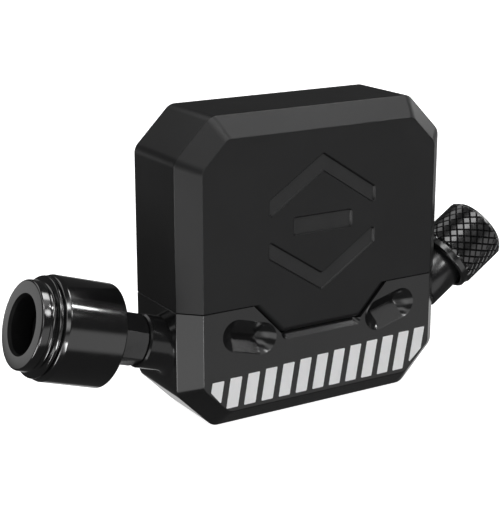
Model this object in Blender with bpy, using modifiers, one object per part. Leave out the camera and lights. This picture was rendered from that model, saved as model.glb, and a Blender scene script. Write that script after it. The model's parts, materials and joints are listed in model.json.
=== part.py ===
"""Electronic air-spring pressure unit that screws onto a shock absorber's filler valve.

Frame: metres, +Z up, +X to the right, front face towards -Y.  The origin is the
centre of the flat bottom face.  The coupling leaves the left side and the filler
valve leaves the right side, both with their axes in the plane y = 0.
"""

import math

import bmesh
import bpy
from mathutils import Matrix, Vector

MM = 0.001
GAP = 0.3                       # clearance between neighbouring solids, mm

# Driving dimensions of the housing, mm
WIDTH = 40.0
HEIGHT = 40.0
DEPTH = 13.0
CORNER_CUT = 5.1                # 45 degree cut at the four corners of the outline
FRONT_BEVEL = 2.5               # 45 degree bevel round the front face
WALL = 1.6                      # plastic wall of the cover
TOP_WALL = 1.2
SEAM_Z = 16.0                   # where the cover meets the metal lower body
NOTCH_TOP_HALF = 10.3           # trapezoid tongue in the front face
NOTCH_FLOOR_HALF = 6.1
NOTCH_FLOOR_Z = 11.6
NOTCH_DEPTH = 1.9
LEDGE = 0.8                     # chamfer along the notch's floor

# Slanted V pockets in the lower body's front face, mm and degrees
POCKET_X = 10.83
POCKET_Z = 12.0
POCKET_RADIUS = 2.0
POCKET_PITCH = 3.8
POCKET_TILT = 15.3
POCKET_DEPTH = 1.9

# Axes of the coupling and of the filler valve: height on the side faces and tilt
COUPLING_Z = 10.9
COUPLING_TILT = 17.4
VALVE_Z = 11.8
VALVE_TILT = 33.5

# Coupling, mm: distances are measured along its axis from the housing's side
BOSS_RADIUS = 3.42
BOSS_END = 3.9
HEX_ACROSS_FLATS = 5.9
COLLAR_RADIUS = 6.5
COLLAR_START = 8.5
COLLAR_END = 19.4
SOCKET_RADIUS = 3.57            # clears a 7.7 mm valve thread's core
AIR_BORE_RADIUS = 0.9

# Filler valve, mm: distances along its axis from the housing's side
STEM_RADIUS = 3.6
STEM_END = 11.2
CAP_RADIUS = 4.68
CAP_START = 5.2
CAP_END = 13.25

# Coin cell and its hatch in the back wall, mm
CELL_Z = 28.1
CELL_RADIUS = 10.0
HATCH_RADIUS = 10.3
HATCH_HOLE_RADIUS = 10.6

# Circuit board, mm
BOARD_HALF_WIDTH = 16.5
BOARD_LOW = 17.6
BOARD_HIGH = 37.9
BOARD_FRONT_Y = -3.2
BOARD_BACK_Y = -2.2
BOARD_CORNER = 4.2
CONTACT_Z = 23.4

# Cover screws, from below
COVER_SCREW_X = 12.9
COVER_SCREW_Y = 2.6
COVER_SCREW_BORE = 1.1
COVER_SCREW_HEAD_BORE = 1.9

# Sensor pocket in the lower body
SENSOR_RADIUS = 3.0
SENSOR_POCKET_FLOOR = 9.0
CLAMP_SCREW_X = 5.0

# Screws that hold the circuit board on the front wall
BOARD_SCREW_X = 7.0
BOARD_SCREW_Z = 21.5

# Engraved travel mark on the cover, mm: two chevrons pointing apart and a bar between
MARK_Z = 25.4
MARK_DEPTH = 0.3
MARK_HALF_WIDTH = 8.0
MARK_RISE = 5.2
MARK_STROKE = 2.3
MARK_OFFSET = 2.6
MARK_BAR_SHARE = 0.55           # half length of the bar as a share of the mark's

# The housing's two halves are drilled by crossing round holes, which the exact
# solver leaves open, so their cuts use the manifold solver
CROSS_DRILLED = ("lower_body", "housing_cover")

STEPS_LARGE = 48
STEPS_SMALL = 24

FRONT_Y = -DEPTH / 2
BACK_Y = DEPTH / 2
SIDE_X = WIDTH / 2


def axis_direction(side, tilt):
    """Unit vector leaving the given side (-1 left, +1 right), tilted upwards."""
    angle = math.radians(tilt)
    return Vector((side * math.cos(angle), 0.0, math.sin(angle)))


def axis_matrix(origin_mm, direction):
    """World matrix whose local Z runs along the direction, with its X in the XZ plane."""
    z_axis = Vector(direction).normalized()
    y_axis = Vector((0.0, 1.0, 0.0))
    if abs(z_axis.dot(y_axis)) > 0.9:
        y_axis = Vector((0.0, 0.0, 1.0))
    x_axis = y_axis.cross(z_axis).normalized()
    y_axis = z_axis.cross(x_axis)
    matrix = Matrix((x_axis, y_axis, z_axis)).transposed().to_4x4()
    matrix.translation = Vector(origin_mm) * MM
    return matrix


COUPLING_AXIS = axis_matrix((-SIDE_X, 0.0, COUPLING_Z), axis_direction(-1, COUPLING_TILT))
VALVE_AXIS = axis_matrix((SIDE_X, 0.0, VALVE_Z), axis_direction(1, VALVE_TILT))
HATCH_AXIS = axis_matrix((0.0, 0.0, CELL_Z), (0.0, 1.0, 0.0))


def upright(x, y, z=0.0):
    return Matrix.Translation(Vector((x, y, z)) * MM)


def facing_back(x, z):
    """Matrix whose local Z runs along world Y, through a point of the front view."""
    return axis_matrix((x, 0.0, z), (0.0, 1.0, 0.0))


SIDES = ((-1, "left"), (1, "right"))


# ---------------------------------------------------------------- scene helpers

def clear_scene():
    for item in list(bpy.context.scene.objects):
        bpy.data.objects.remove(item, do_unlink=True)


def new_collection(name):
    collection = bpy.data.collections.new(name)
    bpy.context.scene.collection.children.link(collection)
    return collection


def principled(name, colour, roughness, metallic=0.0):
    material = bpy.data.materials.new(name)
    material.use_nodes = True
    shader = material.node_tree.nodes["Principled BSDF"]
    shader.inputs["Base Color"].default_value = (*colour, 1.0)
    shader.inputs["Roughness"].default_value = roughness
    shader.inputs["Metallic"].default_value = metallic
    return material


def add_object(name, mesh, matrix, material):
    item = bpy.data.objects.new(name, mesh)
    item.matrix_world = matrix
    if material is None:
        CUTTERS.objects.link(item)
        item.hide_render = True
        item.display_type = "WIRE"
    else:
        mesh.materials.append(material)
        PARTS.objects.link(item)
    return item


def mesh_from(bm, name):
    bmesh.ops.recalc_face_normals(bm, faces=bm.faces)
    mesh = bpy.data.meshes.new(name)
    bm.to_mesh(mesh)
    bm.free()
    return mesh


def turned(name, matrix, profile, material, steps=STEPS_LARGE):
    """Solid of revolution about local Z.

    The profile is a list of (radius, height) in mm that starts at the top and runs
    down the outer side.  It is closed unless both its ends lie on the axis.
    """
    bm = bmesh.new()
    points = [bm.verts.new((r * MM, 0.0, h * MM)) for r, h in profile]
    for start, end in zip(points, points[1:]):
        bm.edges.new((start, end))
    on_axis = profile[0][0] == 0.0 and profile[-1][0] == 0.0
    if not on_axis:
        bm.edges.new((points[-1], points[0]))
    mesh = bpy.data.meshes.new(name)
    bm.to_mesh(mesh)
    bm.free()
    item = add_object(name, mesh, matrix, material)
    screw = item.modifiers.new("Turn", "SCREW")
    screw.steps = steps
    screw.render_steps = steps
    screw.use_merge_vertices = True
    screw.merge_threshold = 0.00001
    screw.use_smooth_shade = True
    return item


def rod(name, matrix, radius, low, high, material=None, steps=STEPS_SMALL):
    return turned(name, matrix, [(0.0, high), (radius, high), (radius, low), (0.0, low)],
                  material, steps)


def tube(name, matrix, outer, inner, low, high, material, steps=STEPS_SMALL):
    return turned(name, matrix, [(outer, high), (outer, low), (inner, low), (inner, high)],
                  material, steps)


def ring(name, matrix, major, minor, height, material, sides=10, steps=STEPS_SMALL):
    """O-ring: a circle of radius minor swept round the axis, going down its outer side."""
    turn = [-2 * math.pi * i / sides for i in range(sides)]
    profile = [(major + minor * math.cos(a), height + minor * math.sin(a)) for a in turn]
    return turned(name, matrix, profile, material, steps)


def box(name, low, high, material=None):
    bm = bmesh.new()
    bmesh.ops.create_cube(bm, size=1.0)
    size = Vector(high) - Vector(low)
    centre = (Vector(high) + Vector(low)) / 2
    bmesh.ops.scale(bm, vec=size * MM, verts=bm.verts)
    bmesh.ops.translate(bm, vec=centre * MM, verts=bm.verts)
    return add_object(name, mesh_from(bm, name), Matrix.Identity(4), material)


def solid_from_curve(name, curve, matrix, material):
    """Closed mesh object made from a curve, with the curve's caps welded on."""
    guide = bpy.data.objects.new(name + "_guide", curve)
    bpy.context.scene.collection.objects.link(guide)
    graph = bpy.context.evaluated_depsgraph_get()
    mesh = bpy.data.meshes.new_from_object(guide.evaluated_get(graph))
    bpy.data.objects.remove(guide, do_unlink=True)
    bm = bmesh.new()
    bm.from_mesh(mesh)
    bmesh.ops.remove_doubles(bm, verts=bm.verts, dist=0.000001)
    bmesh.ops.dissolve_limit(bm, angle_limit=0.01, verts=bm.verts, edges=bm.edges)
    return add_object(name, mesh_from(bm, name), matrix, material)


# Rotation that lays a curve's own XY plane in the named plane
PLANES = {"XY": Matrix.Identity(4),
          "XZ": Matrix(((1, 0, 0, 0), (0, 0, -1, 0), (0, 1, 0, 0), (0, 0, 0, 1))),
          "YZ": Matrix(((0, 0, 1, 0), (1, 0, 0, 0), (0, 1, 0, 0), (0, 0, 0, 1)))}


def flat(name, outlines, plane, low, high, material=None):
    """Prism between two heights across a plane, from an outline in mm, or an outline and holes."""
    if not isinstance(outlines[0][0], tuple):
        outlines = [outlines]
    curve = bpy.data.curves.new(name, "CURVE")
    curve.dimensions = "2D"
    curve.fill_mode = "BOTH"
    curve.extrude = (high - low) / 2 * MM
    for outline in outlines:
        spline = curve.splines.new("POLY")
        spline.points.add(len(outline) - 1)
        spline.use_cyclic_u = True
        for point, (u, v) in zip(spline.points, outline):
            point.co = (u * MM, v * MM, 0.0, 1.0)
    middle = (low + high) / 2 * MM
    offset = {"XY": (0.0, 0.0, middle), "XZ": (0.0, middle, 0.0), "YZ": (middle, 0.0, 0.0)}
    matrix = Matrix.Translation(offset[plane]) @ PLANES[plane]
    return solid_from_curve(name, curve, matrix, material)


def octagon(half_width, low, high, cut):
    """Outline of the housing, anticlockwise from the lower left."""
    return [(-half_width + cut, low), (half_width - cut, low), (half_width, low + cut),
            (half_width, high - cut), (half_width - cut, high), (-half_width + cut, high),
            (-half_width, high - cut), (-half_width, low + cut)]


def bevelled_block(name, outline, front, back, bevel, material=None):
    """Prism along Y whose front edges carry a 45 degree bevel."""
    item = flat(name, outline, "XZ", front, back, material)
    near = (back - front) / 2 * MM - 0.0000001
    bm = bmesh.new()
    bm.from_mesh(item.data)
    edges = [e for e in bm.edges if all(v.co.z > near for v in e.verts)]
    bmesh.ops.bevel(bm, geom=edges, offset=bevel * MM, offset_type="OFFSET", segments=1,
                    affect="EDGES", clamp_overlap=True)
    bm.to_mesh(item.data)
    bm.free()
    return item


def boolean(item, other, operation="DIFFERENCE"):
    step = item.modifiers.new(other.name, "BOOLEAN")
    step.object = other
    step.operation = operation
    step.solver = "MANIFOLD" if item.name in CROSS_DRILLED else "EXACT"


def cut(item, *cutters):
    for cutter in cutters:
        boolean(item, cutter)


def join(item, *others):
    for other in others:
        boolean(item, other, "UNION")


# ---------------------------------------------------------------- shared cutters

def slanted_pocket(name, side):
    """V-shaped pocket with conical ends: the hull of two circles and two points."""
    lip = 0.1
    tilt = math.radians(POCKET_TILT) * side
    along = Vector((math.cos(tilt), 0.0, math.sin(tilt)))
    across = Vector((-math.sin(tilt), 0.0, math.cos(tilt)))
    centre = Vector((side * POCKET_X, FRONT_Y, POCKET_Z))
    radius = POCKET_RADIUS * (POCKET_DEPTH + lip) / POCKET_DEPTH
    bm = bmesh.new()
    for end in (-1, 1):
        middle = centre + along * (end * POCKET_PITCH / 2)
        bm.verts.new((middle + Vector((0.0, POCKET_DEPTH, 0.0))) * MM)
        for i in range(STEPS_SMALL):
            angle = 2 * math.pi * i / STEPS_SMALL
            offset = along * math.cos(angle) + across * math.sin(angle)
            bm.verts.new((middle + offset * radius - Vector((0.0, lip, 0.0))) * MM)
    hull = bmesh.ops.convex_hull(bm, input=bm.verts)
    loose = [v for v in hull["geom_interior"] if isinstance(v, bmesh.types.BMVert)]
    bmesh.ops.delete(bm, geom=loose, context="VERTS")
    bmesh.ops.dissolve_limit(bm, angle_limit=0.001, verts=bm.verts, edges=bm.edges)
    return add_object(name, mesh_from(bm, name), Matrix.Identity(4), None)


def notch_outline(offset, top):
    """Trapezoid of the tongue; offset shrinks it, top is where its upper edge lies."""
    slope = (NOTCH_TOP_HALF - NOTCH_FLOOR_HALF) / (SEAM_Z - NOTCH_FLOOR_Z)
    floor = NOTCH_FLOOR_Z + offset
    low_half = NOTCH_FLOOR_HALF - offset * 0.41
    high_half = low_half + (top - floor) * slope
    return [(-low_half, floor), (low_half, floor), (high_half, top), (-high_half, top)]


# ---------------------------------------------------------------- housing

def make_lower_body(material):
    body = bevelled_block("lower_body", octagon(SIDE_X, 0.0, HEIGHT, CORNER_CUT),
                          FRONT_Y, BACK_Y, FRONT_BEVEL, material)
    top = SEAM_Z - GAP / 2
    cut(body, box("cut_above_seam", (-30, -10, top), (30, 10, HEIGHT + 5)))
    join(body, rod("boss_coupling", COUPLING_AXIS, BOSS_RADIUS, -2.0, BOSS_END, steps=STEPS_LARGE))
    cut(body, flat("cut_notch", notch_outline(0.0, SEAM_Z + 2.0), "XZ",
                   FRONT_Y - 1.0, FRONT_Y + NOTCH_DEPTH))
    ledge = [(FRONT_Y - 0.2, NOTCH_FLOOR_Z - LEDGE - 0.2), (FRONT_Y - 0.2, NOTCH_FLOOR_Z + 0.4),
             (FRONT_Y + LEDGE + 0.4, NOTCH_FLOOR_Z + 0.4)]
    ledge_half = NOTCH_FLOOR_HALF - LEDGE
    cut(body, flat("cut_ledge", ledge, "YZ", -ledge_half, ledge_half))
    cut(body, slanted_pocket("cut_pocket_left", -1), slanted_pocket("cut_pocket_right", 1))
    # Each port is a stepped bore: seal land, seat and the air gallery that ends where the
    # two galleries meet under the sensor
    cut(body, turned("cut_coupling_port", COUPLING_AXIS,
                     [(0.0, 6.0), (3.0, 6.0), (3.0, 2.6), (2.3, 2.6), (2.3, -3.0),
                      (AIR_BORE_RADIUS, -3.0), (AIR_BORE_RADIUS, -28.0), (0.0, -28.0)],
                     None, STEPS_SMALL))
    mouth = STEM_RADIUS + GAP
    cut(body, turned("cut_valve_port", VALVE_AXIS,
                     [(0.0, 20.0), (mouth, 20.0), (mouth, -0.1), (3.1, -0.1), (3.1, -4.0),
                      (AIR_BORE_RADIUS, -4.0), (AIR_BORE_RADIUS, -16.9), (0.0, -16.9)],
                     None, STEPS_LARGE))
    for side, word in SIDES:
        place = upright(side * COVER_SCREW_X, COVER_SCREW_Y)
        cut(body, rod("cut_cover_screw_" + word, place, COVER_SCREW_BORE, -1.0, 17.0, steps=16),
            rod("cut_cover_screw_head_" + word, place, COVER_SCREW_HEAD_BORE, -1.0, 2.0))
        cut(body, rod("cut_clamp_screw_" + word, upright(side * CLAMP_SCREW_X, 0.0),
                      0.9, 10.0, 16.5, steps=16))
    cut(body, rod("cut_sensor_pocket", upright(0.0, 0.0), SENSOR_RADIUS + GAP,
                  SENSOR_POCKET_FLOOR, 17.0),
        rod("cut_sensor_port", upright(0.0, 0.0), 0.6, 4.6, 10.0, steps=12),
        box("cut_clamp_recess", (-6.9, -3.5, 14.2), (6.9, 3.5, 17.0)))
    cut(body, gasket_frame("cut_gasket_groove", 0.1, 1.3, SEAM_Z - 0.6, SEAM_Z + 1.0))


def gasket_frame(name, outer, inner, low, high, material=None):
    """Rectangular frame just inside the cover's wall, with its front corners cut."""
    corner = 1.5
    loops = []
    for edge in (outer, inner):
        side = SIDE_X - WALL - edge
        front = FRONT_Y + WALL + edge
        back = BACK_Y - WALL - edge
        loops.append([(-side, front + corner), (-side + corner, front), (side - corner, front),
                      (side, front + corner), (side, back), (-side, back)])
    return flat(name, loops, "XY", low, high, material)


def make_housing_cover(material):
    cover = bevelled_block("housing_cover", octagon(SIDE_X, 0.0, HEIGHT, CORNER_CUT),
                           FRONT_Y, BACK_Y, FRONT_BEVEL, material)
    bottom = SEAM_Z + GAP / 2
    tongue = notch_outline(GAP, bottom)
    below = [(-30.0, bottom), (-30.0, -5.0), (30.0, -5.0), (30.0, bottom)]
    around = below + [tongue[2], tongue[1], tongue[0], tongue[3]]
    cut(cover, flat("cut_below_seam", around, "XZ", -10.0, 10.0))
    cut(cover, box("cut_behind_tongue", (-15, FRONT_Y + 3.0, -5), (15, 10, bottom)))
    cut(cover, cover_cavity())
    lip = [(FRONT_Y - 0.2, NOTCH_FLOOR_Z + GAP - 0.2),
           (FRONT_Y - 0.2, NOTCH_FLOOR_Z + GAP + LEDGE + 0.2),
           (FRONT_Y + LEDGE + 0.2, NOTCH_FLOOR_Z + GAP - 0.2)]
    cut(cover, flat("cut_tongue_lip", lip, "YZ", -9.0, 9.0))
    for side, word in SIDES:
        place = upright(side * COVER_SCREW_X, COVER_SCREW_Y)
        rib = box("cover_rib_" + word, (side * COVER_SCREW_X - 0.6, COVER_SCREW_Y, 17.2),
                  (side * COVER_SCREW_X + 0.6, BACK_Y - WALL + 0.4, 24.8))
        join(cover, rod("cover_boss_" + word, place, 1.7, 17.0, 25.0), rib)
        cut(cover, rod("cut_cover_boss_" + word, place, COVER_SCREW_BORE, 16.0, 24.4, steps=16))
        post_place = facing_back(side * BOARD_SCREW_X, BOARD_SCREW_Z)
        join(cover, rod("board_post_" + word, post_place, 1.5, FRONT_Y + WALL - 0.4, -3.5))
        cut(cover, rod("cut_board_post_" + word, post_place, 0.9, -5.0, -3.0, steps=16))
    join(cover, tube("hatch_collar", HATCH_AXIS, 11.2, HATCH_HOLE_RADIUS - 0.2, 4.2,
                     BACK_Y - 0.6, None, STEPS_LARGE))
    cut(cover, rod("cut_hatch_hole", HATCH_AXIS, HATCH_HOLE_RADIUS, 3.0, 8.0,
                   steps=STEPS_LARGE))
    cut(cover, rod("cut_valve_relief", VALVE_AXIS, STEM_RADIUS + GAP, -0.1, 20.0,
                   steps=STEPS_LARGE))
    for number, outline in enumerate(mark_outlines()):
        cut(cover, flat("cut_mark_%d" % number, outline, "XZ", FRONT_Y - 1.0,
                        FRONT_Y + MARK_DEPTH))


def cover_cavity():
    """Space inside the cover: the housing's outline moved in by the wall thickness."""
    half = SIDE_X - WALL
    return bevelled_block("cut_cover_cavity",
                          octagon(half, -10.0, HEIGHT - TOP_WALL, CORNER_CUT - 0.6),
                          FRONT_Y + WALL, BACK_Y - WALL, FRONT_BEVEL - 0.6)


def mark_outlines():
    outlines = []
    for side in (-1, 1):
        base = MARK_Z + side * MARK_OFFSET
        tip = base + side * MARK_RISE
        stroke = side * MARK_STROKE / 2
        outlines.append([(-MARK_HALF_WIDTH, base - stroke), (0.0, tip - stroke),
                         (MARK_HALF_WIDTH, base - stroke), (MARK_HALF_WIDTH, base + stroke),
                         (0.0, tip + stroke), (-MARK_HALF_WIDTH, base + stroke)])
    half = MARK_HALF_WIDTH * MARK_BAR_SHARE
    bar = MARK_STROKE / 2
    outlines.append([(-half, MARK_Z - bar), (half, MARK_Z - bar),
                     (half, MARK_Z + bar), (-half, MARK_Z + bar)])
    return outlines


def make_cover_screw(word, side, material):
    place = upright(side * COVER_SCREW_X, COVER_SCREW_Y)
    screw = turned("cover_screw_" + word, place,
                   [(0.0, 23.5), (0.8, 23.5), (0.8, 1.7), (1.55, 1.7), (1.55, 0.3), (0.0, 0.3)],
                   material, 16)
    socket = rod("cut_cover_socket_" + word, place, 0.75, 0.0, 1.1, steps=6)
    cut(screw, socket)


# ---------------------------------------------------------------- electronics

def make_circuit_board(material):
    half = BOARD_HALF_WIDTH
    inner = half - BOARD_CORNER
    shoulder = BOARD_HIGH - BOARD_CORNER
    outline = [(-half, BOARD_LOW), (half, BOARD_LOW), (half, shoulder), (inner, BOARD_HIGH),
               (-inner, BOARD_HIGH), (-half, shoulder)]
    board = flat("circuit_board", outline, "XZ", BOARD_FRONT_Y, BOARD_BACK_Y, material)
    for side, word in SIDES:
        place = facing_back(side * BOARD_SCREW_X, BOARD_SCREW_Z)
        cut(board, rod("cut_board_hole_" + word, place, 0.9, -4.0, -1.0, steps=16))


def make_board_screw(word, side, material):
    place = facing_back(side * BOARD_SCREW_X, BOARD_SCREW_Z)
    screw = turned("board_screw_" + word, place,
                   [(0.0, -1.2), (1.15, -1.2), (1.15, -1.9), (0.6, -1.9), (0.6, -4.4),
                    (0.0, -4.4)], material, 16)
    cut(screw, rod("cut_board_socket_" + word, place, 0.5, -1.6, -1.0, steps=6))


def make_chips(dark, silver):
    """Square packages on the board's front: name, centre x and z, width, height, material."""
    face = BOARD_FRONT_Y - GAP
    for name, x, z, width, height, material in (
            ("radio_module", 0.0, 32.5, 9.0, 1.05, silver),
            ("microcontroller", 8.7, 28.5, 5.0, 0.9, dark),
            ("motion_sensor", -8.9, 27.5, 3.0, 0.9, dark)):
        half = width / 2
        box(name, (x - half, face - height, z - half), (x + half, face, z + half), material)


def make_battery_group(plastic, spring_steel, cell_steel):
    cradle = turned("battery_cradle", HATCH_AXIS,
                    [(0.0, -1.0), (10.3, -1.0), (10.3, 2.3), (10.9, 2.3), (10.9, -1.9),
                     (0.0, -1.9)], plastic)
    cut(cradle, box("cut_cradle_top", (-12, -3, CELL_Z + 0.2), (12, 4, 42)))
    cut(cradle, rod("cut_contact_window", facing_back(0.0, CONTACT_Z), 2.9, -3.0, 0.0))
    for side, word in SIDES:
        place = facing_back(side * BOARD_SCREW_X, BOARD_SCREW_Z)
        cut(cradle, rod("cut_cradle_hole_" + word, place, 1.5, -3.0, 0.0, steps=16))
    turned("contact_negative", facing_back(0.0, CONTACT_Z),
           [(0.0, -0.9), (1.0, -0.95), (2.5, -1.5), (2.5, -1.9), (0.0, -1.9)], spring_steel)
    leaf = [(-13.6, -1.9), (-10.3, -1.9), (-10.3, 2.2), (-10.6, 2.2), (-10.6, -1.6),
            (-13.6, -1.6)]
    flat("contact_positive", leaf, "XY", 28.9, 32.4, spring_steel)
    turned("coin_cell", HATCH_AXIS,
           [(0.0, 2.6), (CELL_RADIUS - 0.2, 2.6), (CELL_RADIUS, 2.4), (CELL_RADIUS, 0.2),
            (9.3, -0.1), (9.0, -0.6), (0.0, -0.6)], cell_steel)


def make_battery_cap(material, rubber):
    """Coin-slot hatch that screws into the back wall, with an O-ring in its groove."""
    cap = turned("battery_cap", HATCH_AXIS,
                 [(0.0, 6.3), (HATCH_RADIUS - 0.3, 6.3), (HATCH_RADIUS, 6.0), (HATCH_RADIUS, 5.45),
                  (9.2, 5.45), (9.2, 4.05), (HATCH_RADIUS, 4.05), (HATCH_RADIUS, 3.4),
                  (8.6, 3.4), (8.6, 2.9), (0.0, 2.9)], material)
    slot = rod("cut_coin_slot", axis_matrix((0.0, 15.6, CELL_Z), (0, 0, 1)), 10.5, -0.9, 0.9,
               steps=STEPS_LARGE)
    cut(cap, slot)
    ring("battery_cap_oring", HATCH_AXIS, 9.92, 0.38, 4.75, rubber, steps=STEPS_LARGE)


def make_sensor_group(steel, rubber, flex):
    place = upright(0.0, 0.0)
    turned("pressure_sensor", place,
           [(0.0, 14.2), (1.2, 14.2), (1.2, 13.4), (SENSOR_RADIUS, 13.4), (SENSOR_RADIUS, 10.4),
            (0.7, 10.4), (0.7, 11.6), (0.0, 11.6)], steel)
    ring("sensor_oring", place, 2.3, 0.4, 9.7, rubber)
    clamp = box("sensor_clamp", (-6.6, -3.2, 14.5), (6.6, 3.2, 15.3), steel)
    cut(clamp, rod("cut_clamp_window", place, 1.6, 14.0, 16.0))
    for side, word in SIDES:
        spot = upright(side * CLAMP_SCREW_X, 0.0)
        cut(clamp, rod("cut_clamp_hole_" + word, spot, 0.9, 14.0, 16.0, steps=16))
        turned("clamp_screw_" + word, spot,
               [(0.0, 16.2), (1.1, 16.2), (1.1, 15.6), (0.6, 15.6), (0.6, 10.6), (0.0, 10.6)],
               steel, 16)
    strip = [(-3.8, 20.0), (-3.8, 16.5), (-0.1, 16.5), (-0.1, 14.5), (0.2, 14.5), (0.2, 16.8),
             (-3.5, 16.8), (-3.5, 20.0)]
    flat("sensor_flex", strip, "YZ", -1.0, 1.0, flex)


# ---------------------------------------------------------------- coupling

def make_coupling(collar_finish, steel, rubber, brass):
    stem = turned("coupling_stem", COUPLING_AXIS,
                  [(0.0, 12.9), (2.3, 12.9), (2.3, 12.05), (1.8, 12.05), (1.8, 10.95),
                   (2.3, 10.95), (2.3, 7.0), (1.6, 4.2), (1.6, 2.4), (2.0, 2.2), (2.0, -2.7),
                   (0.0, -2.7)], collar_finish, STEPS_SMALL)
    corner = HEX_ACROSS_FLATS / 2 / math.cos(math.radians(30))
    join(stem, rod("stem_hex", COUPLING_AXIS, corner, 4.2, 8.2, steps=6))
    cut(stem, rod("cut_stem_bore", COUPLING_AXIS, 0.8, -4.0, 14.0, steps=12),
        rod("cut_stem_seat", COUPLING_AXIS, 1.3, 10.0, 14.0, steps=16))
    ring("coupling_oring", COUPLING_AXIS, 2.3, 0.38, 3.3, rubber)
    # Collar: nose, narrow neck, cone, groove, cone, barrel, then the bore from its shoulder
    turned("coupling_collar", COUPLING_AXIS,
           [(5.3, COLLAR_END), (5.55, COLLAR_END - 0.25), (5.6, 18.0), (6.0, 17.4), (6.0, 17.2),
            (5.8, 17.1), (5.8, 16.95), (COLLAR_RADIUS, 16.25), (COLLAR_RADIUS, COLLAR_START + 0.4),
            (COLLAR_RADIUS - 0.4, COLLAR_START), (2.6, COLLAR_START), (2.6, 10.2),
            (SOCKET_RADIUS, 10.2), (SOCKET_RADIUS, COLLAR_END - 0.4), (3.8, COLLAR_END)],
           collar_finish)
    tube("coupling_washer", COUPLING_AXIS, 3.25, 2.6, 10.5, 10.9, brass)
    tube("coupling_clip", COUPLING_AXIS, 3.1, 2.1, 11.2, 11.75, steel)
    tube("coupling_seal", COUPLING_AXIS, 3.25, 1.6, 13.2, 14.4, rubber)
    turned("depressor_pin", COUPLING_AXIS,
           [(0.0, 15.4), (0.5, 15.3), (0.55, 13.0), (0.95, 12.7), (0.95, 10.3), (0.0, 10.3)],
           brass, 16)


# ---------------------------------------------------------------- filler valve

def coil(name, matrix, radius, wire, low, high, turns, material):
    """Compression spring about local Z."""
    around = 12
    count = around * turns
    curve = bpy.data.curves.new(name, "CURVE")
    curve.dimensions = "3D"
    curve.bevel_depth = wire * MM
    curve.bevel_resolution = 1
    curve.use_fill_caps = True
    spline = curve.splines.new("POLY")
    spline.points.add(count)
    for i in range(count + 1):
        angle = 2 * math.pi * i / around
        height = low + (high - low) * i / count
        spot = (radius * math.cos(angle) * MM, radius * math.sin(angle) * MM, height * MM)
        spline.points[i].co = (*spot, 1.0)
    return solid_from_curve(name, curve, matrix, material)


def make_valve(stem_finish, cap_finish, brass, rubber, spring_steel):
    turned("valve_stem", VALVE_AXIS,
           [(STEM_RADIUS - 0.3, STEM_END), (STEM_RADIUS, STEM_END - 0.3), (STEM_RADIUS, 0.2),
            (2.0, 0.2), (2.0, -1.5), (2.8, -1.5), (2.8, -3.7), (AIR_BORE_RADIUS, -3.7),
            (AIR_BORE_RADIUS, 1.8), (2.6, 1.8), (2.6, STEM_END)], stem_finish)
    ring("valve_stem_oring", VALVE_AXIS, 2.6, 0.3, -0.7, rubber)
    turned("valve_core_body", VALVE_AXIS,
           [(2.2, 10.9), (2.3, 10.8), (2.3, 4.9), (0.75, 4.9), (0.75, 5.6), (1.35, 5.6),
            (1.35, 9.8), (0.75, 9.8), (0.75, 10.9)], brass)
    turned("valve_core_pin", VALVE_AXIS,
           [(0.0, 11.0), (0.4, 10.9), (0.4, 9.5), (1.0, 9.5), (1.0, 9.0), (0.4, 9.0),
            (0.4, 3.5), (1.3, 3.5), (1.3, 3.0), (0.0, 3.0)], brass, 16)
    tube("valve_core_seal", VALVE_AXIS, 1.7, 0.7, 3.8, 4.55, rubber)
    coil("valve_core_spring", VALVE_AXIS, 0.88, 0.14, 6.05, 7.45, 3, spring_steel)
    bore = STEM_RADIUS + GAP
    turned("valve_cap", VALVE_AXIS,
           [(0.0, CAP_END), (4.1, CAP_END), (CAP_RADIUS, 12.6), (CAP_RADIUS, 6.5), (4.45, 6.2),
            (4.45, 5.4), (4.25, CAP_START), (bore, CAP_START), (bore, 12.4), (0.0, 12.4)],
           cap_finish)
    rod("valve_cap_gasket", VALVE_AXIS, 3.55, 11.5, 12.1, rubber)


# ---------------------------------------------------------------- build

clear_scene()
PARTS = new_collection("air_spring_pressure_unit")
CUTTERS = new_collection("cutters")


def build():
    black_anodised = principled("black_anodised", (0.022, 0.022, 0.024), 0.32, 0.7)
    black_plastic = principled("black_plastic", (0.018, 0.018, 0.019), 0.45)
    gloss_black = principled("gloss_black_anodised", (0.012, 0.012, 0.013), 0.15, 0.8)
    grey_anodised = principled("grey_anodised", (0.05, 0.05, 0.052), 0.35, 0.8)
    rubber = principled("black_rubber", (0.02, 0.02, 0.02), 0.8)
    steel = principled("stainless_steel", (0.55, 0.55, 0.56), 0.3, 1.0)
    brass = principled("brass", (0.62, 0.45, 0.18), 0.3, 1.0)
    board_green = principled("board_green", (0.02, 0.12, 0.05), 0.5)
    chip_black = principled("chip_black", (0.02, 0.02, 0.02), 0.5)
    amber_flex = principled("amber_flex", (0.5, 0.22, 0.03), 0.4)

    make_lower_body(black_anodised)
    make_housing_cover(black_plastic)
    gasket_frame("cover_gasket", 0.4, 1.0, SEAM_Z - 0.3, SEAM_Z + 0.5, rubber)
    for side, word in SIDES:
        make_cover_screw(word, side, steel)
        make_board_screw(word, side, steel)
    make_circuit_board(board_green)
    make_chips(chip_black, steel)
    make_battery_group(black_plastic, steel, steel)
    make_battery_cap(black_plastic, rubber)
    make_sensor_group(steel, rubber, amber_flex)
    make_coupling(gloss_black, steel, rubber, brass)
    make_valve(grey_anodised, gloss_black, brass, rubber, steel)


build()
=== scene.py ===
"""Looks of the electronic air-spring pressure unit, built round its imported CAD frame.

Lengths in this file are in millimetres unless a name says otherwise, and go to
Blender's metres through MM.  Every visible CAD solid of the outside gets a finer
piece: housing halves with their edge fillets, knurled cap, threads, turned parts.
"""

import json
import math

import bmesh
import bpy
from mathutils import Matrix, Vector


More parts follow.
